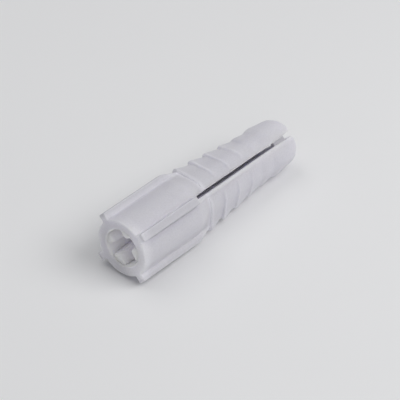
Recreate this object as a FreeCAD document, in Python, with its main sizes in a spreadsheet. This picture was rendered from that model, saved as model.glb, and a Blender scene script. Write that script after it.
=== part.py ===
import FreeCAD, Part
import math
import os
import Sketcher
from FreeCAD import Vector, Placement, Rotation

# Plastic expansion plug (wall anchor) for a 10 mm hole, modelled in its moulded
# (unexpanded) state.  X runs along the plug: the mouth is at X = 0 and the nose
# is at +X.  The plug lies on its side, on two of its four fins.
#
# Every piece is drawn in a local frame whose +Y is the piece's own radial
# direction, and its Placement turns it about X to where it belongs:
#   fins at 45, 135, 225 and 315 degrees (0 = +Y, 90 = +Z)
#   the slot lies in the plane of the fins at 135 and 315 degrees
#   the legs spread towards 45 and 225 degrees.

doc = FreeCAD.newDocument("wall_anchor")

# ------------------------------------------------------------------ dimensions
sheet = doc.addObject("Spreadsheet::Sheet", "dims")
sheet.Label = "dims"
_row = [0]


def dim(alias, value, note):
    _row[0] += 1
    cell = str(_row[0])
    sheet.set("A" + cell, note)
    sheet.set("B" + cell, repr(value))
    sheet.setAlias("B" + cell, alias)


dim("sleeve_radius", 5.0, "outside of the sleeve, nominal hole 10 mm")
dim("entry_radius", 3.3, "round lead-in at the mouth")
dim("bore_radius", 3.1, "round wall at the bottom of the grooves")
dim("sleeve_length", 14.1, "mouth to the root of the slot")
dim("lead_in", 1.0, "depth of the round lead-in")
dim("rib_start", 1.25, "mouth to the end of a guide rib")
dim("groove_half", 0.82, "half width of each groove of the cross bore")
dim("rib_nose", 0.35, "rounding of a guide rib's inner edge")
dim("rib_chamfer", 0.5, "lead-in slope on a guide rib's end")
dim("fin_radius", 6.25, "axis to fin crest")
dim("fin_thickness", 1.4, "fin thickness")
dim("fin_length", 13.7, "mouth to the end of the crest of a spreading-side fin")
dim("fin_length_slot", 13.4, "mouth to the end of a slot-side fin")
dim("fin_corner", 0.9, "rounding at the end of a fin's crest")
dim("slot_half", 0.44, "half width of the slot between the legs")
dim("leg_gap", 0.06, "clearance where a leg meets its neck")
dim("channel_root", 1.6, "screw channel radius at the leg's root")
dim("channel_tip", 0.8, "screw channel radius where it fades out")
dim("channel_end", 33.0, "where the screw channel ends")
dim("keel_round", 1.0, "rounding of a leg's keel")
dim("bridge_start", 34.3, "start of the tear-off bridge between the legs")
dim("bridge_end", 36.9, "end of the tear-off bridge")
dim("bridge_outer", 3.75, "axis to the outer face of the bridge")
dim("bridge_inner", 2.95, "axis to the inner face of the bridge")
dim("bridge_split", 0.04, "half gap along the bridge's tear line")

# Stations along a leg: position, radius of the round flank, radius of the keel.
# A barb falls from its crest to the next valley, then steps out to the next crest.
stations = [
    ("vale0", 16.50, 4.20, 5.28),
    ("barb1", 16.90, 4.42, 5.81),
    ("vale1", 20.00, 4.14, 4.97),
    ("barb2", 20.38, 4.36, 5.53),
    ("vale2", 23.41, 4.10, 4.74),
    ("barb3", 23.75, 4.32, 5.19),
    ("vale3", 26.81, 4.06, 4.52),
    ("barb4", 27.25, 4.26, 4.88),
    ("vale4", 29.81, 4.02, 4.33),
    ("barb5", 30.81, 4.20, 4.57),
    ("vale5", 32.88, 4.00, 4.23),
    ("barb6", 34.38, 4.18, 4.59),
    ("nose0", 37.50, 4.12, 4.22),
    ("nose1", 38.45, 3.86, 3.92),
    ("nose2", 39.05, 3.42, 3.46),
    ("nose3", 39.40, 2.80, 2.83),
]
for name, pos, flank, keel in stations:
    dim(name + "_pos", pos, name + " position along X")
    dim(name + "_flank", flank, name + " radius of the round flank")
    dim(name + "_keel", keel, name + " radius of the keel")
doc.recompute()

S = {}
for i in range(1, _row[0] + 1):
    alias = sheet.getAlias("B%d" % i)
    S[alias] = float(sheet.get(alias))


def d(name):
    return "dims." + name


# --------------------------------------------------------------------- helpers
def new_body(label, angle):
    body = doc.addObject("PartDesign::Body", label)
    body.Label = label
    body.Placement = Placement(Vector(0, 0, 0), Rotation(Vector(1, 0, 0), angle))
    return body


def plane(body, role):
    for feat in body.Origin.OriginFeatures:
        if feat.Role == role:
            return feat
    raise RuntimeError(role)


def new_sketch(body, name, role, offset_expr=None):
    sk = body.newObject("Sketcher::SketchObject", name)
    sk.AttachmentSupport = [(plane(body, role), "")]
    sk.MapMode = "FlatFace"
    if offset_expr:
        sk.setExpression("AttachmentOffset.Base.z", offset_expr)
    return sk


def con(sk, kind, *args, **kw):
    idx = sk.addConstraint(Sketcher.Constraint(kind, *args))
    if "expr" in kw:
        sk.renameConstraint(idx, kw["name"])
        sk.setExpression("Constraints." + kw["name"], kw["expr"])
    return idx


def polygon(sk, pts):
    """closed chain of lines; returns the line ids"""
    ids = []
    n = len(pts)
    for i in range(n):
        a, b = pts[i], pts[(i + 1) % n]
        ids.append(sk.addGeometry(Part.LineSegment(Vector(a[0], a[1], 0), Vector(b[0], b[1], 0)), False))
    for i in range(n):
        con(sk, "Coincident", ids[i], 2, ids[(i + 1) % n], 1)
    return ids


def place_x(sk, line, point, name, expr, value):
    con(sk, "DistanceX", -1, 1, line, point, value, name=name, expr=expr)


def place_y(sk, line, point, name, expr, value):
    con(sk, "DistanceY", -1, 1, line, point, value, name=name, expr=expr)


def pad(body, sk, name, length_expr, symmetric=False):
    feat = body.newObject("PartDesign::Pad", name)
    feat.Profile = sk
    if symmetric:
        feat.SideType = "Symmetric"
    feat.setExpression("Length", length_expr)
    return feat


def pocket_all(body, sk, name, reversed_=False):
    before = body.Shape.Volume
    feat = body.newObject("PartDesign::Pocket", name)
    feat.Profile = sk
    feat.Type = "ThroughAll"
    feat.Reversed = reversed_
    doc.recompute()
    if not body.Shape.Volume < before - 1e-6:
        raise RuntimeError(name + " removed nothing")
    return feat


# ---------------------------------------------------------------------- sleeve
sleeve = new_body("sleeve", 45.0)
sk = new_sketch(sleeve, "sleeve_ring", "YZ_Plane")
c_out = sk.addGeometry(Part.Circle(Vector(0, 0, 0), Vector(0, 0, 1), S["sleeve_radius"]), False)
c_in = sk.addGeometry(Part.Circle(Vector(0, 0, 0), Vector(0, 0, 1), S["bore_radius"]), False)
con(sk, "Coincident", c_out, 3, -1, 1)
con(sk, "Coincident", c_in, 3, -1, 1)
con(sk, "Radius", c_out, S["sleeve_radius"], name="outside", expr=d("sleeve_radius"))
con(sk, "Radius", c_in, S["bore_radius"], name="bore", expr=d("bore_radius"))
pad(sleeve, sk, "sleeve_wall", d("sleeve_length"))
doc.recompute()
# slightly wider round lead-in at the mouth
sk = new_sketch(sleeve, "lead_in_circle", "YZ_Plane")
c_le = sk.addGeometry(Part.Circle(Vector(0, 0, 0), Vector(0, 0, 1), S["entry_radius"]), False)
con(sk, "Coincident", c_le, 3, -1, 1)
con(sk, "Radius", c_le, S["entry_radius"], name="entry", expr=d("entry_radius"))
before = sleeve.Shape.Volume
entry = sleeve.newObject("PartDesign::Pocket", "lead_in_pocket")
entry.Profile = sk
entry.Reversed = True
entry.setExpression("Length", d("lead_in"))
doc.recompute()
ring = math.pi * (S["entry_radius"] ** 2 - S["bore_radius"] ** 2) * S["lead_in"]
if abs(before - sleeve.Shape.Volume - ring) > 0.01:
    raise RuntimeError("lead-in volume")

# ------------------------------------------------------------------------ fins
def make_fin(label, angle, length_alias):
    body = new_body(label, angle)
    sk = new_sketch(body, label + "_side", "XY_Plane")
    L = S[length_alias]
    R = S["fin_radius"]
    c = S["fin_corner"]
    low = S["sleeve_radius"] - 0.8
    # side view: X along the plug, Y radial; the far end of the crest is rounded
    g0 = sk.addGeometry(Part.LineSegment(Vector(0, low, 0), Vector(0, R, 0)), False)
    g1 = sk.addGeometry(Part.LineSegment(Vector(0, R, 0), Vector(L - c, R, 0)), False)
    g2 = sk.addGeometry(Part.ArcOfCircle(Part.Circle(Vector(L - c, R - c, 0), Vector(0, 0, 1), c), 0.0, math.pi / 2), False)
    g3 = sk.addGeometry(Part.LineSegment(Vector(L, R - c, 0), Vector(L, low, 0)), False)
    g4 = sk.addGeometry(Part.LineSegment(Vector(L, low, 0), Vector(0, low, 0)), False)
    con(sk, "Coincident", g0, 2, g1, 1)
    con(sk, "Tangent", g1, 2, g2, 2)
    con(sk, "Tangent", g2, 1, g3, 1)
    con(sk, "Coincident", g3, 2, g4, 1)
    con(sk, "Coincident", g4, 2, g0, 1)
    con(sk, "PointOnObject", g0, 1, -2)
    con(sk, "Vertical", g0)
    con(sk, "Horizontal", g1)
    con(sk, "Vertical", g3)
    con(sk, "Horizontal", g4)
    con(sk, "DistanceY", -1, 1, g0, 1, low, name="foot", expr=d("sleeve_radius") + " - 0.8")
    con(sk, "DistanceY", -1, 1, g0, 2, R, name="crest", expr=d("fin_radius"))
    con(sk, "DistanceX", -1, 1, g3, 1, L, name="reach", expr=d(length_alias))
    con(sk, "Radius", g2, c, name="corner", expr=d("fin_corner"))
    pad(body, sk, label + "_plate", d("fin_thickness"), symmetric=True)
    doc.recompute()
    # the foot is hollowed to sit on the sleeve
    sk2 = new_sketch(body, label + "_seat", "YZ_Plane")
    cc = sk2.addGeometry(Part.Circle(Vector(0, 0, 0), Vector(0, 0, 1), S["sleeve_radius"]), False)
    con(sk2, "Coincident", cc, 3, -1, 1)
    con(sk2, "Radius", cc, S["sleeve_radius"], name="seat", expr=d("sleeve_radius"))
    pocket_all(body, sk2, label + "_hollow", reversed_=True)
    return body


fins = [
    make_fin("fin_upper_left", 45.0, "fin_length"),
    make_fin("fin_upper_right", 135.0, "fin_length_slot"),
    make_fin("fin_lower_right", 225.0, "fin_length"),
    make_fin("fin_lower_left", 315.0, "fin_length_slot"),
]


# ----------------------------------------------------------------- guide ribs
def make_rib(label, angle):
    """one quarter of the bore's filling: a wedge with two walls at 45 degrees to
    its own radial direction, so that four of them leave a cross-shaped bore"""
    body = new_body(label, angle)
    sk = new_sketch(body, label + "_section", "YZ_Plane", d("rib_start"))
    rb = S["bore_radius"]
    g = S["groove_half"]
    r = S["rib_nose"]
    apex = g * math.sqrt(2.0)                 # where the two groove walls would cross
    cy = apex + r * math.sqrt(2.0)            # centre of the rounded inner edge
    q = math.sqrt(0.5)
    # the wall meets the bore at the point w = (u + g, u - ...) in the groove's axes
    along = math.sqrt(rb * rb - g * g)        # distance along the groove
    wy = (along + g) * q
    wz = (along - g) * q
    ang = math.atan2(wz, wy)
    a_out = sk.addGeometry(Part.ArcOfCircle(Part.Circle(Vector(0, 0, 0), Vector(0, 0, 1), rb), -ang, ang), False)
    l_up = sk.addGeometry(Part.LineSegment(Vector(wy, wz, 0), Vector(cy - r * q, r * q, 0)), False)
    a_in = sk.addGeometry(Part.ArcOfCircle(Part.Circle(Vector(cy, 0, 0), Vector(0, 0, 1), r), 0.75 * math.pi, 1.25 * math.pi), False)
    l_dn = sk.addGeometry(Part.LineSegment(Vector(cy - r * q, -r * q, 0), Vector(wy, -wz, 0)), False)
    con(sk, "Coincident", a_out, 3, -1, 1)
    con(sk, "Coincident", a_out, 2, l_up, 1)
    con(sk, "Tangent", l_up, 2, a_in, 1)
    con(sk, "Tangent", a_in, 2, l_dn, 1)
    con(sk, "Coincident", l_dn, 2, a_out, 1)
    con(sk, "PointOnObject", a_in, 3, -1)
    con(sk, "Radius", a_out, rb, name="outer", expr=d("bore_radius"))
    con(sk, "Radius", a_in, r, name="nose", expr=d("rib_nose"))
    con(sk, "Angle", -1, 1, l_dn, 1, -math.pi / 4)
    con(sk, "Perpendicular", l_up, l_dn)
    con(sk, "DistanceX", -1, 1, a_in, 3, cy, name="seat",
        expr="(" + d("groove_half") + " + " + d("rib_nose") + ") * 1.41421356")
    pad(body, sk, label + "_bar", d("sleeve_length") + " - " + d("rib_start"))
    doc.recompute()
    # sloped lead-in: the inner edge at the mouth end is cut back
    sk2 = new_sketch(body, label + "_slope", "XY_Plane")
    x0 = S["rib_start"]
    k = S["rib_chamfer"]
    y0 = apex - 0.5
    pts = [(x0 - 0.5, y0), (x0 + k + 0.35, y0), (x0 - 0.5, y0 + (k + 0.85) * 1.6)]
    ids = polygon(sk2, pts)
    con(sk2, "Horizontal", ids[0])
    con(sk2, "Vertical", ids[2])
    place_x(sk2, ids[0], 1, "back", d("rib_start") + " - 0.5", pts[0][0])
    place_y(sk2, ids[0], 1, "low", d("groove_half") + " * 1.41421356 - 0.5", y0)
    place_x(sk2, ids[1], 1, "reach", d("rib_start") + " + " + d("rib_chamfer") + " + 0.35", pts[1][0])
    place_y(sk2, ids[2], 1, "rise", d("groove_half") + " * 1.41421356 - 0.5 + (" + d("rib_chamfer") + " + 0.85) * 1.6", pts[2][1])
    before = body.Shape.Volume
    feat = body.newObject("PartDesign::Pocket", label + "_lead_in")
    feat.Profile = sk2
    feat.SideType = "Symmetric"
    feat.Length = 8.0
    doc.recompute()
    if not body.Shape.Volume < before - 1e-6:
        raise RuntimeError(label + " lead-in removed nothing")
    return body


ribs = [
    make_rib("guide_rib_left", 0.0),
    make_rib("guide_rib_top", 90.0),
    make_rib("guide_rib_right", 180.0),
    make_rib("guide_rib_bottom", 270.0),
]


# ------------------------------------------------------- sections of the legs
def leg_section(body, name, x_expr, flank, keel, flank_expr, keel_expr, rho_expr, rho):
    """half section of the pair of legs: a round flank about the axis, two
    facets tangent to it, a rounded keel and the flat face beside the slot"""
    sk = new_sketch(body, name, "YZ_Plane", x_expr)
    h = S["slot_half"]
    cx = keel - rho
    t = math.acos((flank - rho) / cx)
    p = math.acos(h / flank)
    C = math.cos
    N = math.sin
    o = Vector(0, 0, 0)
    z = Vector(0, 0, 1)
    a1 = sk.addGeometry(Part.ArcOfCircle(Part.Circle(o, z, flank), -p, -t), False)
    l1 = sk.addGeometry(Part.LineSegment(Vector(flank * C(t), -flank * N(t), 0),
                                         Vector(cx + rho * C(t), -rho * N(t), 0)), False)
    a2 = sk.addGeometry(Part.ArcOfCircle(Part.Circle(Vector(cx, 0, 0), z, rho), -t, t), False)
    l2 = sk.addGeometry(Part.LineSegment(Vector(cx + rho * C(t), rho * N(t), 0),
                                         Vector(flank * C(t), flank * N(t), 0)), False)
    a3 = sk.addGeometry(Part.ArcOfCircle(Part.Circle(o, z, flank), t, p), False)
    l0 = sk.addGeometry(Part.LineSegment(Vector(h, flank * N(p), 0), Vector(h, -flank * N(p), 0)), False)
    con(sk, "Coincident", a1, 3, -1, 1)
    con(sk, "Coincident", a3, 3, -1, 1)
    con(sk, "PointOnObject", a2, 3, -1)
    con(sk, "Equal", a1, a3)
    con(sk, "Tangent", a1, 2, l1, 1)
    con(sk, "Tangent", l1, 2, a2, 1)
    con(sk, "Tangent", a2, 2, l2, 1)
    con(sk, "Tangent", l2, 2, a3, 1)
    con(sk, "Coincident", a3, 2, l0, 1)
    con(sk, "Coincident", l0, 2, a1, 1)
    con(sk, "Vertical", l0)
    con(sk, "Radius", a1, flank, name="flank", expr=flank_expr)
    con(sk, "Radius", a2, rho, name="rounding", expr=rho_expr)
    con(sk, "DistanceX", -1, 1, a2, 3, cx, name="keel", expr=keel_expr + " - " + rho_expr)
    con(sk, "DistanceX", -1, 1, l0, 1, h, name="slot", expr=d("slot_half"))
    return sk


def loft(body, name, sketches):
    feat = body.newObject("PartDesign::AdditiveLoft", name)
    feat.Profile = sketches[0]
    feat.Sections = sketches[1:]
    feat.Ruled = True
    doc.recompute()
    return feat


# ------------------------------------------------------------------ flex necks
def make_neck(label, angle):
    """half shell between the sleeve and the first barb, where the leg bends"""
    body = new_body(label, angle)
    r0 = S["sleeve_radius"]
    s0 = leg_section(body, label + "_root", d("sleeve_length"), r0 - 0.02, r0 + 0.02,
                     d("sleeve_radius") + " - 0.02", d("sleeve_radius") + " + 0.02", d("keel_round"), S["keel_round"])
    s1 = leg_section(body, label + "_end", d("vale0_pos"), S["vale0_flank"], S["vale0_keel"],
                     d("vale0_flank"), d("vale0_keel"), d("keel_round"), S["keel_round"])
    loft(body, label + "_shell", [s0, s1])
    # sloping tail of the fin that runs down to the first valley
    sk = new_sketch(body, label + "_tail_side", "XY_Plane")
    x0, x1 = S["sleeve_length"], S["vale0_pos"]
    top = S["fin_radius"] - 0.1
    low = 3.0
    ids = polygon(sk, [(x0, low), (x1, low), (x1, S["vale0_keel"]), (x0, top)])
    con(sk, "Horizontal", ids[0])
    con(sk, "Vertical", ids[1])
    con(sk, "Vertical", ids[3])
    place_x(sk, ids[0], 1, "back", d("sleeve_length"), x0)
    place_y(sk, ids[0], 1, "foot", "3.0", low)
    place_x(sk, ids[1], 1, "front", d("vale0_pos"), x1)
    place_y(sk, ids[2], 1, "valley", d("vale0_keel"), S["vale0_keel"])
    place_y(sk, ids[3], 1, "crest", d("fin_radius") + " - 0.1", top)
    pad(body, sk, label + "_tail", d("fin_thickness"), symmetric=True)
    doc.recompute()
    # screw channel
    sk2 = new_sketch(body, label + "_channel_section", "YZ_Plane")
    cc = sk2.addGeometry(Part.Circle(Vector(0, 0, 0), Vector(0, 0, 1), S["channel_root"]), False)
    con(sk2, "Coincident", cc, 3, -1, 1)
    con(sk2, "Radius", cc, S["channel_root"], name="channel", expr=d("channel_root"))
    pocket_all(body, sk2, label + "_channel", reversed_=True)
    return body


necks = [make_neck("flex_neck_upper", 45.0), make_neck("flex_neck_lower", 225.0)]


# ------------------------------------------------------------------------ legs
def make_leg(label, angle):
    body = new_body(label, angle)
    sks = []
    for name, pos, flank, keel in stations:
        x_expr = d(name + "_pos")
        if name == "vale0":
            x_expr = x_expr + " + " + d("leg_gap")
        rho = min(S["keel_round"], 0.75 * flank)
        sks.append(leg_section(body, label + "_" + name, x_expr, flank, keel,
                               d(name + "_flank"), d(name + "_keel"), d("keel_round"), rho))
    loft(body, label + "_barbs", sks)
    # tapering screw channel along the slot face
    sk = new_sketch(body, label + "_channel_side", "XY_Plane")
    x0, x1 = S["vale0_pos"] - 1.0, S["channel_end"]
    ids = polygon(sk, [(x0, 0.0), (x1, 0.0), (x1, S["channel_tip"]), (x0, S["channel_root"])])
    con(sk, "PointOnObject", ids[0], 1, -1)
    con(sk, "PointOnObject", ids[0], 2, -1)
    con(sk, "Vertical", ids[1])
    con(sk, "Vertical", ids[3])
    place_x(sk, ids[0], 1, "back", d("vale0_pos") + " - 1", x0)
    place_x(sk, ids[1], 1, "front", d("channel_end"), x1)
    place_y(sk, ids[2], 1, "tip", d("channel_tip"), S["channel_tip"])
    place_y(sk, ids[3], 1, "root", d("channel_root"), S["channel_root"])
    before = body.Shape.Volume
    gr = body.newObject("PartDesign::Groove", label + "_channel")
    gr.Profile = sk
    gr.ReferenceAxis = (sk, ["H_Axis"])
    gr.Angle = 360.0
    doc.recompute()
    if not body.Shape.Volume < before - 1e-6:
        raise RuntimeError(label + " channel removed nothing")
    return body


legs = [make_leg("leg_upper", 45.0), make_leg("leg_lower", 225.0)]


# --------------------------------------------------------------- tear-off bridge
def make_bridge(label, angle, side):
    """half of the thin web that joins the two legs along one open side of the
    slot; side is +1 or -1 for the local Z of that open side"""
    body = new_body(label, angle)
    sk = new_sketch(body, label + "_section", "YZ_Plane", d("bridge_start"))
    g, h = S["bridge_split"], S["slot_half"]
    near, far = S["bridge_inner"] * side, S["bridge_outer"] * side
    ids = polygon(sk, [(g, near), (h, near), (h, far), (g, far)])
    con(sk, "Horizontal", ids[0])
    con(sk, "Vertical", ids[1])
    con(sk, "Horizontal", ids[2])
    con(sk, "Vertical", ids[3])
    place_x(sk, ids[0], 1, "split", d("bridge_split"), g)
    place_x(sk, ids[1], 1, "wall", d("slot_half"), h)
    for line, name, alias in ((ids[0], "inner", "bridge_inner"), (ids[2], "outer", "bridge_outer")):
        if side > 0:
            con(sk, "DistanceY", -1, 1, line, 1, S[alias], name=name, expr=d(alias))
        else:
            con(sk, "DistanceY", line, 1, -1, 1, S[alias], name=name, expr=d(alias))
    pad(body, sk, label + "_web", d("bridge_end") + " - " + d("bridge_start"))
    doc.recompute()
    return body


bridges = [make_bridge("tip_bridge_upper", 45.0, 1), make_bridge("tip_bridge_lower", 225.0, -1)]

doc.recompute()

# ---------------------------------------------------------------------- checks
for obj in doc.Objects:
    if any(s in ("Invalid", "Error") for s in obj.State):
        raise RuntimeError("failed: " + obj.Name + " " + str(obj.State))
for obj in doc.Objects:
    if obj.TypeId == "Sketcher::SketchObject" and obj.solve() != 0:
        raise RuntimeError("sketch does not solve: " + obj.Name)

pieces = [sleeve] + fins + ribs + necks + legs + bridges
os.makedirs("parts", exist_ok=True)
for piece in pieces:
    shape = piece.Shape
    if shape.isNull() or not shape.isValid() or len(shape.Solids) != 1:
        raise RuntimeError("bad shape: " + piece.Label)
for piece in pieces:
    piece.Shape.exportStep("parts/" + piece.Label + ".step")
    bb = piece.Shape.BoundBox
    print("%-20s vol %8.3f  x %6.2f..%6.2f  y %6.2f..%6.2f  z %6.2f..%6.2f" % (
        piece.Label, piece.Shape.Volume, bb.XMin, bb.XMax, bb.YMin, bb.YMax, bb.ZMin, bb.ZMax))
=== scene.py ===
import math

import bpy
import numpy as np
from mathutils import Matrix, Vector


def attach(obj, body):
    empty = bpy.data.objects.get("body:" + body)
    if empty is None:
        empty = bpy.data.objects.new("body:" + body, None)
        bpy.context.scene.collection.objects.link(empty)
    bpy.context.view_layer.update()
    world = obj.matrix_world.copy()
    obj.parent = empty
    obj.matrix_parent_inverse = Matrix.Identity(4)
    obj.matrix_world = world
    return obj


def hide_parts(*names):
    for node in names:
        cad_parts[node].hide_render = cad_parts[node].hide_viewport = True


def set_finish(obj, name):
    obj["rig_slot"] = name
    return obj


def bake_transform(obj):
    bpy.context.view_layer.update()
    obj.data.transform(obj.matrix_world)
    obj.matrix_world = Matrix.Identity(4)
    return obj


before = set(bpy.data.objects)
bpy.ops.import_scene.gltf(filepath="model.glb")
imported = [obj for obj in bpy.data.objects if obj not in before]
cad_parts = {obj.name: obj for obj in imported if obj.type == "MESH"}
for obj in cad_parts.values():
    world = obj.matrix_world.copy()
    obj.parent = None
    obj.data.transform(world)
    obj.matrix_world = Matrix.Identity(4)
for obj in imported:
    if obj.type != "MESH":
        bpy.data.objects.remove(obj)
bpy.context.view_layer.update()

# ============================================================ shape (start)
# The plug as an implicit function, in millimetres.  x runs from the mouth to
# the nose, a towards the lower leg and b towards the lower slot-side fin:
#   a = -(y + z) / sqrt 2,   b = (y - z) / sqrt 2
PR = dict(
    entry_r=3.30, bore_r=3.12, lead=0.55, rib0=0.30, groove_b=0.95, groove_a=1.35, ribnose=0.55,
    fin_r=6.25, fin_t=1.36, fin_len=13.7, fin_len_slot=13.4,
    fin_near=-0.05, fin_far=-0.25,          # sideways set of the slot-side fins
    slot0=14.1, slot_h=0.31, slot_tip=0.43, slot_c=-0.31, L=39.45,
    web0=34.35, web1=37.1, web_in=2.95, web_out=3.78,
    keel_round=1.05, seam=16.68, fade0=58.0, fade1=82.0,
    strip_h=0.15, strip_end=30.0,
)
# x, flank radius, keel radius, smoothing width
ST = [
    (-1.0, 5.00, 5.00, .02),
    (13.70, 5.00, 5.02, .25),
    (16.66, 4.19, 5.26, .04),
    (16.92, 4.42, 5.82, .06),
    (20.16, 4.13, 4.95, .04),
    (20.40, 4.36, 5.54, .06),
    (23.56, 4.09, 4.72, .05),
    (23.78, 4.32, 5.20, .07),
    (26.96, 4.05, 4.50, .06),
    (27.28, 4.26, 4.88, .10),
    (29.90, 4.02, 4.32, .13),
    (30.81, 4.20, 4.57, .28),
    (32.92, 4.00, 4.23, .25),
    (34.38, 4.18, 4.58, .42),
    (36.20, 4.17, 4.32, .35),
    (37.50, 4.16, 4.17, .30),
]
# the same for the plain land beside the slot
LAND = [
    (-1.0, 5.00, 5.00, .02),
    (13.70, 5.00, 5.02, .25),
    (16.60, 4.32, 5.20, .30),
    (20.00, 4.26, 5.00, .40),
    (29.00, 4.17, 5.00, .40),
    (37.50, 4.16, 4.26, .30),
]
NOSE = dict(x0=37.3, r=1.95, e=2.5)


def profile_table(st, nose, length):
    """flank and keel radius at every hundredth of a millimetre"""
    xs = np.arange(-1.0, 42.0, 0.01)
    at = np.array([s[0] for s in st])
    width = np.interp(xs, at, [s[3] for s in st])
    steps = [0.0, .03, .06, .1, .15, .22, .32, .45]
    out = []
    for k in (1, 2):
        v = np.interp(xs, at, [s[k] for s in st])
        stack = [v]
        for w in steps[1:]:
            n = int(4 * w / 0.01)
            ker = np.exp(-0.5 * (np.arange(-n, n + 1) * 0.01 / w) ** 2)
            ker /= ker.sum()
            stack.append(np.convolve(np.pad(v, n, mode="edge"), ker, "valid"))
        stack = np.array(stack)
        idx = np.interp(width, steps, np.arange(len(steps)))
        i0 = np.floor(idx).astype(int).clip(0, len(steps) - 2)
        t = idx - i0
        cols = np.arange(len(xs))
        out.append(stack[i0, cols] * (1 - t) + stack[i0 + 1, cols] * t)
    u = ((xs - nose["x0"]) / (length - nose["x0"])).clip(0, 1)
    drop = nose["r"] * (1 - (1 - u ** nose["e"]) ** (1 / nose["e"]))
    return xs, out[0] - drop, out[1] - drop


def smin(p, q, k):
    h = np.clip(0.5 + 0.5 * (q - p) / k, 0, 1)
    return q * (1 - h) + p * h - k * h * (1 - h)


def smax(p, q, k):
    return -smin(-p, -q, k)


class Plug:
    def __init__(self, pr=None, st=None, nose=None):
        self.p = dict(PR)
        if pr:
            self.p.update(pr)
        self.xs, self.fl, self.ke = profile_table(st or ST, nose or NOSE, self.p["L"])
        land = [(q[0], q[1], q[2], q[3]) for q in LAND]
        self.land = profile_table(land, nose or NOSE, self.p["L"])[1]

    def skin(self, x, a, b):
        """sleeve, barbs and nose without fins, bore or slot; the barbs' steps
        fade out before they reach the slot"""
        p = self.p
        w = np.degrees(np.arctan2(np.abs(b), np.abs(a) + 1e-9))
        w = ((p["fade1"] - w) / (p["fade1"] - p["fade0"])).clip(0, 1)
        w = w * w * (3 - 2 * w)
        f0 = self.hull(x, a, b, np.interp(x, self.xs, self.land), np.interp(x, self.xs, self.ke))
        f1 = self.hull(x, a, b, np.interp(x, self.xs, self.fl), np.interp(x, self.xs, self.ke))
        body = f1 * w + f0 * (1 - w)
        # shallow waviness of a moulded surface
        wave = (np.sin(0.9 * x + 1.1 * a + 0.3) * np.sin(0.7 * b - 0.5 * x + 1.9)
                + 0.6 * np.sin(1.9 * a + 0.4 * x + 2.2) * np.sin(1.6 * b + 0.9 * x))
        body = body + 0.008 * wave
        return smax(body, x - p["L"], 0.25)

    def hull(self, x, a, b, fl, ke):
        p = self.p
        aa = np.abs(a)
        ab = np.abs(b)
        r = np.sqrt(a * a + b * b)
        rho = np.minimum(p["keel_round"], 0.75 * fl)
        h = np.maximum(ke - rho, 1e-3)
        k = np.clip((fl - rho) / h, -0.999, 0.999)
        s = np.sqrt(1 - k * k)
        along = s * aa - k * ab
        body = np.where(along <= 0, r - fl,
                        np.where(along >= h * s, np.sqrt((aa - h) ** 2 + b * b) - rho,
                                 k * aa + s * ab - fl))
        return body

    def plate(self, rad, lat, x, length, tail):
        p = self.p
        c = 0.14
        if tail:
            top = p["fin_r"] + np.minimum(0, -(x - length) * (p["fin_r"] - 5.25) / (16.5 - length))
            q1 = (rad - top) * 0.95
            end = x - 17.2
        else:
            q1 = rad - p["fin_r"]
            end = (x - length) + 0.12 * (rad - 5.0)
        q = smax(q1, end, 0.35 if tail else 0.12)
        q2 = np.abs(lat) - p["fin_t"] / 2
        u = np.maximum(q + c, 0)
        v = np.maximum(q2 + c, 0)
        d = np.sqrt(u * u + v * v) - c + np.minimum(np.maximum(q + c, q2 + c), 0)
        return np.maximum(d, 3.6 - rad)

    def outer(self, x, a, b):
        p = self.p
        body = self.skin(x, a, b)
        fins = self.plate(np.abs(a), b, x, p["fin_len"], True)
        side = np.where(b < 0, p["fin_near"], p["fin_far"])
        fins = np.minimum(fins, self.plate(np.abs(b), a - side, x, p["fin_len_slot"], False))
        # low strip that carries the slot-side fins on beside the slot
        top = np.interp(x, self.xs, self.land) + p["strip_h"] * ((p["strip_end"] - x) / 6.0).clip(0, 1)
        strip = smax(np.abs(b) - top, np.abs(a - side) - p["fin_t"] / 2 - 0.02, 0.06)
        strip = np.maximum(strip, 3.4 - np.abs(b))
        body = np.where(x < 38.0, smin(body, np.maximum(strip, 10.0 - x), 0.08), body)
        return smax(smin(fins, body, 0.26), -x, 0.2)

    def half(self, x):
        """half the slot's width; it opens a little past the web"""
        p = self.p
        return np.interp(x, [35.5, 37.2], [p["slot_h"], p["slot_tip"]])

    def slot(self, x, a, b):
        p = self.p
        c = 0.3
        q1 = np.abs(a - p["slot_c"]) - self.half(x)
        q2 = p["slot0"] - x
        u = np.maximum(q1 + c, 0)
        v = np.maximum(q2 + c, 0)
        return np.sqrt(u * u + v * v) - c + np.minimum(np.maximum(q1 + c, q2 + c), 0)

    def channel(self, x, a, b):
        r = np.sqrt(a * a + b * b)
        return r - np.interp(x, [14.0, 33.0, 34.0], [1.6, 0.8, 0.0])

    def rib(self, x, a, b):
        """all four guide ribs, without the bore's outline; the cross between
        them is turned a little and narrows away from the mouth"""
        p = self.p
        deep = ((x - 0.6) / 3.0).clip(0, 1)
        reach = 0.32
        back = np.maximum(p["rib0"] + reach - x, 0)
        flare = reach * (1 - np.sqrt(np.clip(1 - (back / reach) ** 2, 0, 1)))
        q1 = p["groove_b"] - 0.22 * deep + flare - np.abs(a + 0.25 + 0.125 * b)
        q2 = p["groove_a"] - 0.45 * deep + flare - np.abs(b - 0.125 * a)
        rn = p["ribnose"]
        u = np.maximum(q1 + rn, 0)
        v = np.maximum(q2 + rn, 0)
        d = np.sqrt(u * u + v * v) - rn + np.minimum(np.maximum(q1 + rn, q2 + rn), 0)
        return smax(d, p["rib0"] - x, 0.12)

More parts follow.
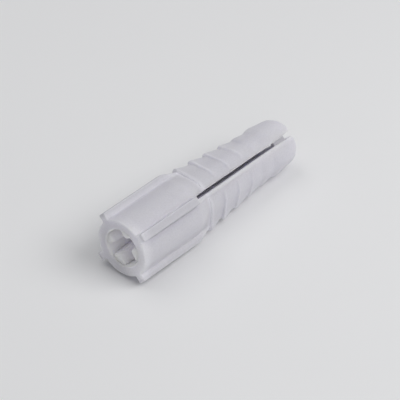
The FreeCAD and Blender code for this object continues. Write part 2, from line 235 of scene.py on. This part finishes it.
    def f_sleeve(self, P):
        p = self.p
        x, a, b = P[..., 0], P[..., 1], P[..., 2]
        r = np.sqrt(a * a + b * b)
        f = self.outer(x, a, b)
        flare = (p["entry_r"] - p["bore_r"]) * np.exp(-np.maximum(x, 0) / p["lead"])
        bore = smax(r - p["bore_r"] - flare, x - p["slot0"], 0.2)
        void = np.minimum(bore, np.maximum(self.channel(x, a, b), 13.9 - x))
        f = smax(f, -void, 0.5)
        f = smax(f, -self.slot(x, a, b), 0.12)
        return np.maximum(f, x - (p["seam"] - 0.008))

    def f_leg(self, P, sign):
        p = self.p
        x, a, b = P[..., 0], P[..., 1], P[..., 2]
        f = self.outer(x, a, b)
        f = smax(f, -self.channel(x, a, b), 0.1)
        f = smax(f, self.half(x) - sign * (a - p["slot_c"]), (0.12 if sign < 0 else 0.3) + 0.6 * (x - 38.0).clip(0, 1))
        return np.maximum(f, p["seam"] + 0.008 - x)

    def f_rib(self, P, sa, sb):
        p = self.p
        x, a, b = P[..., 0], P[..., 1], P[..., 2]
        r = np.sqrt(a * a + b * b)
        f = np.maximum(self.rib(x, a, b), r - (p["bore_r"] + 0.12))
        f = np.maximum(f, x - (p["slot0"] + 0.1))
        f = np.maximum(f, 0.1 - sa * (a + 0.25 + 0.125 * b))
        return np.maximum(f, 0.1 - sb * (b - 0.125 * a))

    def f_web(self, P, sign):
        """half of the thin web across one open side of the slot"""
        p = self.p
        x, a, b = P[..., 0], P[..., 1], P[..., 2]
        s = sign * (a - p["slot_c"])
        c = 0.25
        q1 = np.maximum(p["web0"] - x, x - p["web1"])
        # the web thins towards its two ends
        q2 = np.abs(-b - 0.5 * (p["web_in"] + p["web_out"])) - 0.5 * (p["web_out"] - p["web_in"])
        u = np.maximum(q1 + c, 0)
        v = np.maximum(q2 + c, 0)
        d = np.sqrt(u * u + v * v) - c + np.minimum(np.maximum(q1 + c, q2 + c), 0)
        return np.maximum(np.maximum(d, s - (self.half(x) + 0.1)), -s)


def surface_nets(fn, lo, hi, vox):
    n = [int(math.ceil((hi[i] - lo[i]) / vox)) + 1 for i in range(3)]
    ax = [lo[i] + vox * np.arange(n[i]) for i in range(3)]
    F = np.empty(n, np.float32)
    step = max(1, 1200000 // (n[1] * n[2]))
    Y, Z = np.meshgrid(ax[1], ax[2], indexing="ij")
    for i in range(0, n[0], step):
        j = min(n[0], i + step)
        P = np.empty((j - i, n[1], n[2], 3))
        P[..., 0] = ax[0][i:j, None, None]
        P[..., 1] = Y
        P[..., 2] = Z
        F[i:j] = fn(P)
    F[F == 0] = 1e-7
    inside = F < 0
    cnt = np.zeros([k - 1 for k in n], np.uint8)
    corners = [(i & 1, (i >> 1) & 1, i >> 2) for i in range(8)]
    for c in corners:
        cnt += inside[c[0]:n[0] - 1 + c[0], c[1]:n[1] - 1 + c[1], c[2]:n[2] - 1 + c[2]]
    active = (cnt > 0) & (cnt < 8)
    cells = np.argwhere(active)
    vid = -np.ones(active.shape, np.int32)
    vid[active] = np.arange(len(cells))
    acc = np.zeros((len(cells), 3))
    num = np.zeros(len(cells))
    val = {c: F[cells[:, 0] + c[0], cells[:, 1] + c[1], cells[:, 2] + c[2]].astype(float) for c in corners}
    for c in corners:
        for k in range(3):
            if c[k]:
                continue
            e = list(c)
            e[k] = 1
            v0, v1 = val[c], val[tuple(e)]
            m = (v0 < 0) != (v1 < 0)
            t = v0[m] / (v0[m] - v1[m])
            pt = np.repeat(np.array(c, float)[None], m.sum(), 0)
            pt[:, k] += t
            acc[m] += pt
            num[m] += 1
    V = (cells + acc / num[:, None]) * vox + np.array(lo)
    quads = []
    for k in range(3):
        s0 = [slice(None)] * 3
        s1 = [slice(None)] * 3
        s0[k] = slice(0, -1)
        s1[k] = slice(1, None)
        A = inside[tuple(s0)]
        idx = np.argwhere(A != inside[tuple(s1)])
        o = [(k + 1) % 3, (k + 2) % 3]
        ok = np.ones(len(idx), bool)
        for q in o:
            ok &= (idx[:, q] > 0) & (idx[:, q] < n[q] - 1)
        idx = idx[ok]
        out = A[idx[:, 0], idx[:, 1], idx[:, 2]]

        def corner(du, dv):
            q = idx.copy()
            q[:, o[0]] -= du
            q[:, o[1]] -= dv
            return vid[q[:, 0], q[:, 1], q[:, 2]]

        q = np.stack([corner(1, 1), corner(0, 1), corner(0, 0), corner(1, 0)], 1)
        q[~out] = q[~out][:, ::-1]
        quads.append(q)
    return V, np.concatenate(quads)


def project(fn, V, rounds=4, h=0.01, lim=0.08, fixed=None):
    """moves points onto the surface along its gradient; fixed is a mask of
    axes (per point) that stay where they are"""
    for _ in range(rounds):
        f0 = fn(V)
        g = np.empty_like(V)
        for k in range(3):
            e = np.zeros(3)
            e[k] = h
            g[:, k] = (fn(V + e) - fn(V - e)) / (2 * h)
        if fixed is not None:
            g = np.where(fixed, 0.0, g)
        n2 = np.maximum((g * g).sum(1), 0.05)
        st = (f0 / n2)[:, None] * g
        ln = np.linalg.norm(st, axis=1, keepdims=True)
        V = V - st * np.minimum(1, lim / np.maximum(ln, 1e-9))
    return V


def relax(V, Q, fn, rounds=2, strength=0.5, hold=None):
    """evens out the grid's steps, then goes back onto the surface"""
    E = np.concatenate([Q[:, [0, 1]], Q[:, [1, 2]], Q[:, [2, 3]], Q[:, [3, 0]]])
    for _ in range(rounds):
        acc = np.zeros_like(V)
        cnt = np.zeros(len(V))
        for i, j in ((0, 1), (1, 0)):
            for k in range(3):
                acc[:, k] += np.bincount(E[:, i], V[E[:, j], k], len(V))
            cnt += np.bincount(E[:, i], minlength=len(V))
        W = V + strength * (acc / cnt[:, None] - V)
        if hold is not None:
            W[hold] = V[hold]
        V = project(fn, W, 2)
        if hold is not None:
            V[hold] = W[hold]
    return V


def cap_snap(V, fn_side, x0, vox):
    """puts the rim of a flat cap at x0 exactly on the side surface"""
    near = (np.abs(V[:, 0] - x0) < 0.75 * vox) & (np.abs(fn_side(V)) < 0.75 * vox)
    W = V[near].copy()
    W[:, 0] = x0
    fixed = np.zeros_like(W, bool)
    fixed[:, 0] = True
    V[near] = project(fn_side, W, 5, fixed=fixed)
    flat = (np.abs(V[:, 0] - x0) < 0.5 * vox) & ~near
    V[flat, 0] = x0
    return V, near | flat


def painted_edge_light(fn, V, Q):
    """how much paler the skin is painted: 0 on open surfaces, up to 1 as a painted highlight
    along rounded outer edges (hardly at the mouth's edge and on the first barb) and as
    painted light lifting the shade in the sleeve's tight hollows, below 0 in one crease"""
    h = 0.1
    lap = -6 * fn(V)
    g2 = np.zeros(len(V))
    for k in range(3):
        e = np.zeros(3)
        e[k] = h
        p, m = fn(V + e), fn(V - e)
        lap += p + m
        g2 += ((p - m) / (2 * h)) ** 2
    bend = lap / (h * h) / np.sqrt(np.maximum(g2, 0.05))
    E = np.concatenate([Q[:, [0, 1]], Q[:, [1, 2]], Q[:, [2, 3]], Q[:, [3, 0]]])
    parts = []
    for w in (((bend - 0.9) / 3.0).clip(0, 1), ((-bend - 0.4) / 2.0).clip(0, 1)):
        for _ in range(2):
            acc = w.copy()
            cnt = np.ones(len(V))
            for i, j in ((0, 1), (1, 0)):
                acc += np.bincount(E[:, i], w[E[:, j]], len(V))
                cnt += np.bincount(E[:, i], minlength=len(V))
            w = acc / cnt
        parts.append(w)
    # painted highlight along rounded edges, painted light in the tight hollows
    painted_rim_highlight, painted_hollow_light = parts
    painted_rim_highlight = painted_rim_highlight * (1 - 0.75 * np.exp(-((V[:, 0] - PR["seam"] - 0.2) / 0.5) ** 2))
    painted_rim_highlight = painted_rim_highlight * (0.2 + 0.8 * ((V[:, 0] - 0.4) / 0.8).clip(0, 1))
    x, lat, b = V[:, 0], V[:, 1] - PR["fin_near"], V[:, 2]
    painted_hollow_light = painted_hollow_light * ((x - 0.8) / 0.8).clip(0, 1) * (1 - 0.8 * ((x - 16.7) / 0.5).clip(0, 1))
    # a darker line is painted below the near slot-side fin
    crease = (np.exp(-((lat - 0.78) / 0.15) ** 2) * ((-b - 4.2) / 0.4).clip(0, 1)
              * ((x - 1.0) / 1.5).clip(0, 1) * ((13.6 - x) / 0.5).clip(0, 1))
    return np.maximum(painted_rim_highlight, painted_hollow_light * (1 - crease)) * (1 - crease) - 1.7 * crease
# ============================================================== shape (end)

MM = 0.001
Q = math.sqrt(0.5)
plug = Plug()
VOX = 0.13


def to_row(V):
    x, a, b = V[:, 0], V[:, 1], V[:, 2]
    return np.stack([x, Q * (b - a), -Q * (a + b)], 1) * MM


def make_object(name, V, F, cap=None, painted_light=None):
    mesh = bpy.data.meshes.new(name)
    mesh.from_pydata(to_row(V).tolist(), [], F.tolist())
    smooth = np.ones(len(F), bool)
    if cap is not None:
        smooth = ~(np.abs(V[F][:, :, 0] - cap) < 1e-4).all(1)
    mesh.polygons.foreach_set("use_smooth", smooth.tolist())
    # the painted edge highlight and hollow light are stored on the points
    if painted_light is not None:
        mesh.attributes.new("painted_light", "FLOAT", "POINT").data.foreach_set("value", painted_light.astype(np.float32))
    mesh.update()
    obj = bpy.data.objects.new(name, mesh)
    bpy.context.scene.collection.objects.link(obj)
    return obj


def drop_loose(V, F):
    used = np.zeros(len(V), bool)
    used[F.ravel()] = True
    new = np.cumsum(used) - 1
    return V[used], new[F]


def build(name, fn, lo, hi, vox, seam=None, side=None, rounds=2):
    V, F = surface_nets(fn, lo, hi, vox)
    V = project(fn, V, 4)
    hold = None
    if seam is not None:
        V, hold = cap_snap(V, side, seam, vox)
    V = relax(V, F, fn, rounds, 0.5, hold)
    V, F = drop_loose(V, F)
    return make_object(name, V, F, seam, painted_edge_light(side or fn, V, F))


def side_sleeve(P):
    x = P[..., 0]
    Z = P.copy()
    Z[..., 0] = np.minimum(x, PR["seam"] - 0.02)
    return plug.f_sleeve(Z)


def side_leg(sign):
    def fn(P):
        Z = P.copy()
        Z[..., 0] = np.maximum(P[..., 0], PR["seam"] + 0.02)
        return plug.f_leg(Z, sign)
    return fn


pieces = {}
seam = PR["seam"]
g0 = -0.37 * VOX
pieces["sleeve_skin"] = build("sleeve_skin", plug.f_sleeve, (g0 - 2 * VOX, -6.7, -6.7), (seam + 3 * VOX, 6.7, 6.7), VOX, seam - 0.008, side_sleeve)
for name, sign in (("leg_upper_skin", -1), ("leg_lower_skin", 1)):
    lo = (seam - 2.37 * VOX, -6.3 if sign < 0 else -0.5, -4.7)
    hi = (PR["L"] + 0.5, 0.5 if sign < 0 else 6.3, 4.7)
    pieces[name] = build(name, lambda P, s=sign: plug.f_leg(P, s), lo, hi, VOX, seam + 0.008, side_leg(sign))
for name, sa, sb in (("guide_rib_left_skin", -1, 1), ("guide_rib_top_skin", -1, -1), ("guide_rib_right_skin", 1, -1), ("guide_rib_bottom_skin", 1, 1)):
    lo = (PR["rib0"] - 0.5, -3.6 if sa < 0 else -0.4, -3.6 if sb < 0 else -0.4)
    hi = (PR["slot0"] + 0.6, 0.4 if sa < 0 else 3.6, 0.4 if sb < 0 else 3.6)
    pieces[name] = build(name, lambda P, u=sa, v=sb: plug.f_rib(P, u, v), lo, hi, VOX)
for name, sign in (("web_upper_skin", -1), ("web_lower_skin", 1)):
    c, h = PR["slot_c"], PR["slot_h"] + 0.4
    lo = (PR["web0"] - 0.3, c - h, -PR["web_out"] - 0.3)
    hi = (PR["web1"] + 0.3, c + h, -PR["web_in"] + 0.3)
    pieces[name] = build(name, lambda P, s=sign: plug.f_web(P, s), lo, hi, min(VOX, 0.08))

# ------------------------------------------------------------------ movement
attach(pieces["sleeve_skin"], "plug")
for n in ("left", "top", "right", "bottom"):
    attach(pieces["guide_rib_%s_skin" % n], "plug")
    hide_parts("guide_rib_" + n)
    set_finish(pieces["guide_rib_%s_skin" % n], "bore_nylon")
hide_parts("sleeve", "fin_upper_left", "fin_upper_right", "fin_lower_right", "fin_lower_left",
            "flex_neck_upper", "flex_neck_lower")
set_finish(pieces["sleeve_skin"], "neck_nylon")
for n in ("upper", "lower"):
    leg = pieces["leg_%s_skin" % n]
    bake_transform(leg)
    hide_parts("leg_" + n)
    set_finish(leg, "leg_nylon")
    web = pieces["web_%s_skin" % n]
    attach(web, n + "_leg")
    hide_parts("tip_bridge_" + n)
    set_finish(web, "web_nylon")


# ----------------------------------------------------------------- materials
def nylon(name, base, scatter, rough, seed, weight=1.0, crest=(1.0, 1.0), bore=1.0, root=1.0, along=(1.0, 1.0), lip=1.0):
    """milky natural nylon: a soft body, faint flow clouds and a satin skin"""
    mat = bpy.data.materials.new(name)
    mat.use_nodes = True
    nt = mat.node_tree
    nodes, links = nt.nodes, nt.links
    nodes.clear()
    out = nodes.new("ShaderNodeOutputMaterial")
    bsdf = nodes.new("ShaderNodeBsdfPrincipled")
    links.new(bsdf.outputs["BSDF"], out.inputs["Surface"])
    bsdf.subsurface_method = "RANDOM_WALK"
    bsdf.inputs["Subsurface Radius"].default_value = (1.0, 1.0, 1.08)
    bsdf.inputs["Subsurface Scale"].default_value = scatter * MM
    bsdf.inputs["IOR"].default_value = 1.5
    bsdf.inputs["Specular IOR Level"].default_value = 0.42
    tex = nodes.new("ShaderNodeTexCoord")
    # less scattering beside the border of the two skins, whose end caps
    # would otherwise swallow light and leave a dark ring
    split = nodes.new("ShaderNodeSeparateXYZ")
    links.new(tex.outputs["Object"], split.inputs[0])
    away = nodes.new("ShaderNodeMath")
    away.operation = "SUBTRACT"
    away.inputs[1].default_value = seam * MM
    links.new(split.outputs["X"], away.inputs[0])
    dist = nodes.new("ShaderNodeMath")
    dist.operation = "ABSOLUTE"
    links.new(away.outputs[0], dist.inputs[0])
    thin = nodes.new("ShaderNodeMapRange")
    thin.interpolation_type = "SMOOTHSTEP"
    thin.inputs["From Min"].default_value = 0.1 * MM
    thin.inputs["From Max"].default_value = 1.5 * MM
    thin.inputs["To Min"].default_value = 0.05 * weight
    thin.inputs["To Max"].default_value = weight
    links.new(dist.outputs[0], thin.inputs["Value"])
    # distance from the plug's axis: painted light on the wall of the bore, standing in for
    # light that comes through the milky wall, and the crests of the fins painted darker and scattering less, matched
    # to the tones seen there
    flat = nodes.new("ShaderNodeCombineXYZ")
    links.new(split.outputs["Y"], flat.inputs["Y"])
    links.new(split.outputs["Z"], flat.inputs["Z"])
    radius = nodes.new("ShaderNodeVectorMath")
    radius.operation = "LENGTH"
    links.new(flat.outputs[0], radius.inputs[0])

    def ramp_of(x0, x1, y0, y1):
        m = nodes.new("ShaderNodeMapRange")
        m.interpolation_type = "SMOOTHSTEP"
        m.inputs["From Min"].default_value = x0 * MM
        m.inputs["From Max"].default_value = x1 * MM
        m.inputs["To Min"].default_value = y0
        m.inputs["To Max"].default_value = y1
        links.new(radius.outputs["Value"], m.inputs["Value"])
        return m

    # the crests of the fins scatter less light
    crest_scatter = ramp_of(5.2, 6.0, 1.0, crest[0])
    weigh = nodes.new("ShaderNodeMath")
    weigh.operation = "MULTIPLY"
    links.new(thin.outputs["Result"], weigh.inputs[0])
    links.new(crest_scatter.outputs["Result"], weigh.inputs[1])
    links.new(weigh.outputs[0], bsdf.inputs["Subsurface Weight"])
    # the crests of the fins are painted darker
    dull = ramp_of(5.5, 6.1, 1.0, crest[1])
    # painted light on the wall of the bore
    bore_painted_light = ramp_of(3.25, 3.6, bore, 1.0)
    # painted light beside the border of the two skins, lifting the shade of the first valley and the light lost there
    pale = nodes.new("ShaderNodeMapRange")
    pale.interpolation_type = "SMOOTHSTEP"
    pale.inputs["From Max"].default_value = 0.9 * MM
    pale.inputs["To Min"].default_value = root
    pale.inputs["To Max"].default_value = 1.0
    links.new(dist.outputs[0], pale.inputs["Value"])
    tone = nodes.new("ShaderNodeMath")
    tone.operation = "MULTIPLY"
    links.new(dull.outputs["Result"], tone.inputs[0])
    links.new(bore_painted_light.outputs["Result"], tone.inputs[1])
    # painted highlight on rounded edges and painted light in hollows, read from the mesh, with a darker painted line
    # in one crease
    painted_light_node = nodes.new("ShaderNodeAttribute")
    painted_light_node.attribute_name = "painted_light"
    edge = nodes.new("ShaderNodeMapRange")
    edge.inputs["From Min"].default_value = -2.0
    edge.inputs["To Min"].default_value = 0.74
    edge.inputs["To Max"].default_value = 1.13
    links.new(painted_light_node.outputs["Fac"], edge.inputs["Value"])
    soft = nodes.new("ShaderNodeMath")
    soft.operation = "MULTIPLY"
    links.new(tone.outputs[0], soft.inputs[0])
    links.new(edge.outputs["Result"], soft.inputs[1])
    both = nodes.new("ShaderNodeMath")
    both.operation = "MULTIPLY"
    links.new(soft.outputs[0], both.inputs[0])
    links.new(pale.outputs["Result"], both.inputs[1])
    # painted light: the skin a little paler towards the nose
    nose_painted_light = nodes.new("ShaderNodeMapRange")
    nose_painted_light.inputs["From Min"].default_value = 18.0 * MM
    nose_painted_light.inputs["From Max"].default_value = 37.0 * MM
    nose_painted_light.inputs["To Min"].default_value = along[0]
    nose_painted_light.inputs["To Max"].default_value = along[1]
    links.new(split.outputs["X"], nose_painted_light.inputs["Value"])
    long = nodes.new("ShaderNodeMath")
    long.operation = "MULTIPLY"
    links.new(both.outputs[0], long.inputs[0])
    links.new(nose_painted_light.outputs["Result"], long.inputs[1])
    # painted paler on the -Y side of the mouth's lip, in place of the glow
    # that shows through the wall there
    side = nodes.new("ShaderNodeMapRange")
    side.interpolation_type = "SMOOTHSTEP"
    side.inputs["From Min"].default_value = 1.0 * MM
    side.inputs["From Max"].default_value = -4.0 * MM
    side.inputs["To Max"].default_value = lip - 1.0
    links.new(split.outputs["Y"], side.inputs["Value"])
    brim = nodes.new("ShaderNodeMapRange")
    brim.interpolation_type = "SMOOTHSTEP"
    brim.inputs["From Min"].default_value = 0.3 * MM
    brim.inputs["From Max"].default_value = 2.4 * MM
    brim.inputs["To Min"].default_value = 1.0
    brim.inputs["To Max"].default_value = 0.0
    links.new(split.outputs["X"], brim.inputs["Value"])
    glow = nodes.new("ShaderNodeMath")
    glow.operation = "MULTIPLY_ADD"
    links.new(side.outputs["Result"], glow.inputs[0])
    links.new(brim.outputs["Result"], glow.inputs[1])
    glow.inputs[2].default_value = 1.0
    # painted light at the border, making up for the light lost where the scattering is taken away
    vale = nodes.new("ShaderNodeMapRange")
    vale.interpolation_type = "SMOOTHSTEP"
    vale.inputs["From Max"].default_value = 0.3 * MM
    vale.inputs["To Min"].default_value = 1.0 + 0.6 * (root - 1.0)
    vale.inputs["To Max"].default_value = 1.0
    links.new(dist.outputs[0], vale.inputs["Value"])
    deep = nodes.new("ShaderNodeMath")
    deep.operation = "MULTIPLY"
    links.new(glow.outputs[0], deep.inputs[0])
    links.new(vale.outputs["Result"], deep.inputs[1])
    total = nodes.new("ShaderNodeMath")
    total.operation = "MULTIPLY"
    links.new(long.outputs[0], total.inputs[0])
    links.new(deep.outputs[0], total.inputs[1])
    cloud = nodes.new("ShaderNodeTexNoise")
    cloud.inputs["Scale"].default_value = 260.0
    cloud.inputs["Detail"].default_value = 3.0
    cloud.inputs["Roughness"].default_value = 0.55
    shift = nodes.new("ShaderNodeVectorMath")
    shift.operation = "ADD"
    shift.inputs[1].default_value = (0.13 * seed, 0.07 * seed, 0.05 * seed)
    links.new(tex.outputs["Object"], shift.inputs[0])
    links.new(shift.outputs[0], cloud.inputs["Vector"])
    ramp = nodes.new("ShaderNodeValToRGB")
    ramp.color_ramp.elements[0].position = 0.3
    ramp.color_ramp.elements[1].position = 0.72
    ramp.color_ramp.elements[0].color = (base[0] * 0.975, base[1] * 0.972, base[2] * 0.98, 1)
    ramp.color_ramp.elements[1].color = (min(1, base[0] * 1.015), min(1, base[1] * 1.015), min(1, base[2] * 1.012), 1)
    links.new(cloud.outputs["Fac"], ramp.inputs["Fac"])
    scale = nodes.new("ShaderNodeVectorMath")
    scale.operation = "SCALE"
    links.new(ramp.outputs["Color"], scale.inputs[0])
    links.new(scale.outputs[0], bsdf.inputs["Base Color"])
    # satin skin: fine texture of the mould, a little rougher in patches
    fine = nodes.new("ShaderNodeTexNoise")
    fine.inputs["Scale"].default_value = 3800.0
    fine.inputs["Detail"].default_value = 2.0
    links.new(shift.outputs[0], fine.inputs["Vector"])
    patch = nodes.new("ShaderNodeTexNoise")
    patch.inputs["Scale"].default_value = 700.0
    patch.inputs["Detail"].default_value = 3.0
    links.new(shift.outputs[0], patch.inputs["Vector"])
    speck = nodes.new("ShaderNodeMapRange")
    speck.inputs["From Min"].default_value = 0.3
    speck.inputs["From Max"].default_value = 0.7
    speck.inputs["To Min"].default_value = 0.968
    speck.inputs["To Max"].default_value = 1.032
    links.new(fine.outputs["Fac"], speck.inputs["Value"])
    grain = nodes.new("ShaderNodeMath")
    grain.operation = "MULTIPLY"
    links.new(total.outputs[0], grain.inputs[0])
    links.new(speck.outputs["Result"], grain.inputs[1])
    links.new(grain.outputs[0], scale.inputs["Scale"])
    rmap = nodes.new("ShaderNodeMapRange")
    rmap.inputs["To Min"].default_value = rough - 0.05
    rmap.inputs["To Max"].default_value = rough + 0.07
    links.new(patch.outputs["Fac"], rmap.inputs["Value"])
    links.new(rmap.outputs["Result"], bsdf.inputs["Roughness"])
    add = nodes.new("ShaderNodeMath")
    add.operation = "ADD"
    links.new(fine.outputs["Fac"], add.inputs[0])
    links.new(patch.outputs["Fac"], add.inputs[1])
    bump = nodes.new("ShaderNodeBump")
    bump.inputs["Strength"].default_value = 0.8
    bump.inputs["Distance"].default_value = 0.00004
    links.new(add.outputs[0], bump.inputs["Height"])
    links.new(bump.outputs["Normal"], bsdf.inputs["Normal"])
    return mat


mats = {
    "neck_nylon": nylon("neck_nylon_look", (0.68, 0.67, 0.715), 3.0, 0.40, 1, 1.0, (0.35, 0.85), 1.45, 1.13, lip=1.16),
    # the guide ribs get a paler base colour: painted light lifting the shade inside the bore
    "bore_nylon": nylon("bore_nylon_look", (0.95, 0.94, 0.965), 1.5, 0.46, 2, 0.7),
    "leg_nylon": nylon("leg_nylon_look", (0.70, 0.69, 0.735), 2.4, 0.36, 3, root=1.13, along=(0.96, 1.035)),
    "web_nylon": nylon("web_nylon_look", (0.56, 0.55, 0.59), 1.0, 0.46, 4, 0.3),
}
for obj in pieces.values():
    obj.data.materials.append(mats[obj["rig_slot"]])

# --------------------------------------------------------------------- stage
FLOOR_Z = -5.02 * MM
TILT = math.radians(2.25)       # the plug rests on its sleeve's end and on the legs


def floor_material():
    mat = bpy.data.materials.new("floor_pale")
    mat.use_nodes = True
    nt = mat.node_tree
    bsdf = nt.nodes["Principled BSDF"]
    bsdf.inputs["Roughness"].default_value = 0.85
    bsdf.inputs["Specular IOR Level"].default_value = 0.15
    n = nt.nodes.new("ShaderNodeTexNoise")
    n.inputs["Scale"].default_value = 30.0
    r = nt.nodes.new("ShaderNodeValToRGB")
    r.color_ramp.elements[0].color = (0.885, 0.885, 0.89, 1)
    r.color_ramp.elements[1].color = (0.90, 0.90, 0.905, 1)
    t = nt.nodes.new("ShaderNodeTexCoord")
    nt.links.new(t.outputs["Object"], n.inputs["Vector"])
    nt.links.new(n.outputs["Fac"], r.inputs["Fac"])
    nt.links.new(r.outputs["Color"], bsdf.inputs["Base Color"])
    return mat


fm = bpy.data.meshes.new("floor")
fm.from_pydata([(-6, -6, 0), (6, -6, 0), (6, 6, 0), (-6, 6, 0)], [], [(0, 1, 2, 3)])
floor = bpy.data.objects.new("floor", fm)
bpy.context.scene.collection.objects.link(floor)
pivot = Vector((13.7 * MM, 0, FLOOR_Z))
floor.matrix_world = Matrix.Translation(pivot) @ Matrix.Rotation(-TILT, 4, "Y")
fm.materials.append(floor_material())

# -------------------------------------------------------------------- camera
RC = np.array([[0.653242, 0.514783, -0.555224],
               [-0.450236, 0.853675, 0.261775],
               [0.608738, 0.07898, 0.78943]])          # right, down, forward over x, a, b
TC = np.array([-1.96858772, 1.21963444, 62.70081414]) * 6.25
FR = np.array([[1, 0, 0], [0, -Q, -Q], [0, Q, -Q]])     # x, a, b over the row's axes
RW = RC @ FR
centre = -(RW.T @ TC) * MM
cam_data = bpy.data.cameras.new("camera")
cam_data.lens = 225.0
cam_data.sensor_width = 36.0
cam_data.clip_start = 0.02
cam_data.clip_end = 20.0
cam = bpy.data.objects.new("camera", cam_data)
bpy.context.scene.collection.objects.link(cam)
m = Matrix.Identity(4)
for i in range(3):
    m[i][0] = RW[0, i]
    m[i][1] = -RW[1, i]
    m[i][2] = -RW[2, i]
    m[i][3] = centre[i]
cam.matrix_world = m
bpy.context.scene.camera = cam

# -------------------------------------------------------------------- lights
focus = Vector((20 * MM, 0, 0))


def soft_light(name, direction, distance, size, power, colour=(1, 1, 1)):
    """direction is given in the picture: right, down, away from the camera"""
    d = Vector((RW.T @ np.array(direction, float)).tolist()).normalized()
    data = bpy.data.lights.new(name, "AREA")
    data.shape = "RECTANGLE"
    data.size, data.size_y = size
    data.energy = power
    data.color = colour
    obj = bpy.data.objects.new(name, data)
    bpy.context.scene.collection.objects.link(obj)
    obj.location = focus + d * distance
    obj.rotation_euler = d.to_track_quat("Z", "Y").to_euler()
    return obj


soft_light("key_right", (0.62, -0.50, -0.60), 0.45, (0.30, 0.30), 0.92)
soft_light("top_left", (-0.34, -0.86, -0.38), 0.45, (0.30, 0.30), 0.36)
soft_light("front", (0.15, 0.05, -1.0), 0.50, (0.25, 0.25), 0.10)

world = bpy.data.worlds.new("studio")
bpy.context.scene.world = world
world.use_nodes = True
bg = world.node_tree.nodes["Background"]
bg.inputs["Color"].default_value = (0.97, 0.98, 1.0, 1)
bg.inputs["Strength"].default_value = 0.32

bpy.context.scene.view_settings.view_transform = "Standard"
bpy.context.scene.view_settings.look = "None"

# light finds its way through the milky walls and out of the bore
cyc = bpy.context.scene.cycles
cyc.max_bounces = 32
cyc.diffuse_bounces = 24

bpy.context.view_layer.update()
